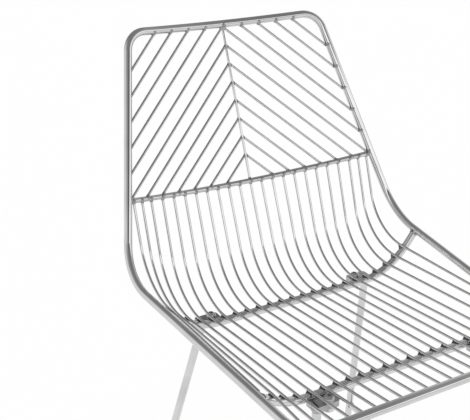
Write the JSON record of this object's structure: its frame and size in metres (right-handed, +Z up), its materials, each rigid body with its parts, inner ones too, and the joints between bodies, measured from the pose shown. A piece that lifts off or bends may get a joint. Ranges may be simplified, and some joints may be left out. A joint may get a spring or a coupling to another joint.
{
  "type": "wire bar stool",
  "caption": "Bar stool with a welded wire bucket seat, a chevron-patterned wire back in a bent rod rim, splayed rod legs and a front footrest.",
  "frame": {"origin": "on the floor under the middle of the stool's bounding box", "axes": "+Z up, front of the seat towards -Y, +X to the right seen from the front"},
  "size_m": [0.5164, 0.597, 1.1191],
  "materials": {
    "shell_rod": "polished chrome plate",
    "shell_wire": "polished chrome plate",
    "leg_rod": "polished chrome plate",
    "plate": "chrome plate",
    "fastener": "bright zinc",
    "glide": "black plastic"
  },
  "bodies": {
    "root": {"outer_rim": "shell_rod", "back_crossbar": "shell_rod", "rear_cross_rod": "shell_rod", "front_cross_rod": "shell_rod", "back_spine": "shell_wire", "chevron_1": "shell_wire", "chevron_2": "shell_wire", "chevron_3": "shell_wire", "chevron_4": "shell_wire", "chevron_5": "shell_wire", "chevron_6": "shell_wire", "chevron_7": "shell_wire", "chevron_8": "shell_wire", "left_corner_wire_1": "shell_wire", "left_corner_wire_2": "shell_wire", "left_corner_wire_3": "shell_wire", "left_corner_wire_4": "shell_wire", "right_corner_wire_1": "shell_wire", "right_corner_wire_2": "shell_wire", "right_corner_wire_3": "shell_wire", "right_corner_wire_4": "shell_wire", "seat_wire_01": "shell_wire", "seat_wire_02": "shell_wire", "seat_wire_03": "shell_wire", "seat_wire_04": "shell_wire", "seat_wire_05": "shell_wire", "seat_wire_06": "shell_wire", "seat_wire_07": "shell_wire", "seat_wire_08": "shell_wire", "seat_wire_09": "shell_wire", "seat_wire_10": "shell_wire", "seat_wire_11": "shell_wire", "seat_wire_12": "shell_wire", "seat_wire_13": "shell_wire", "seat_wire_14": "shell_wire", "seat_wire_15": "shell_wire", "seat_wire_16": "shell_wire", "seat_wire_17": "shell_wire", "seat_wire_18": "shell_wire", "seat_wire_19": "shell_wire", "seat_wire_20": "shell_wire", "seat_wire_21": "shell_wire", "seat_wire_22": "shell_wire", "seat_wire_23": "shell_wire", "rear_left_leg": "leg_rod", "rear_right_leg": "leg_rod", "front_left_leg": "leg_rod", "front_right_leg": "leg_rod", "left_side_rail": "leg_rod", "right_side_rail": "leg_rod", "front_footrest": "leg_rod", "mounting_tabs": "plate", "leg_plates": "plate", "seat_screws": "fastener", "seat_washers": "fastener", "seat_nuts": "fastener", "foot_glides": "glide"}
  },
  "joints": []
}
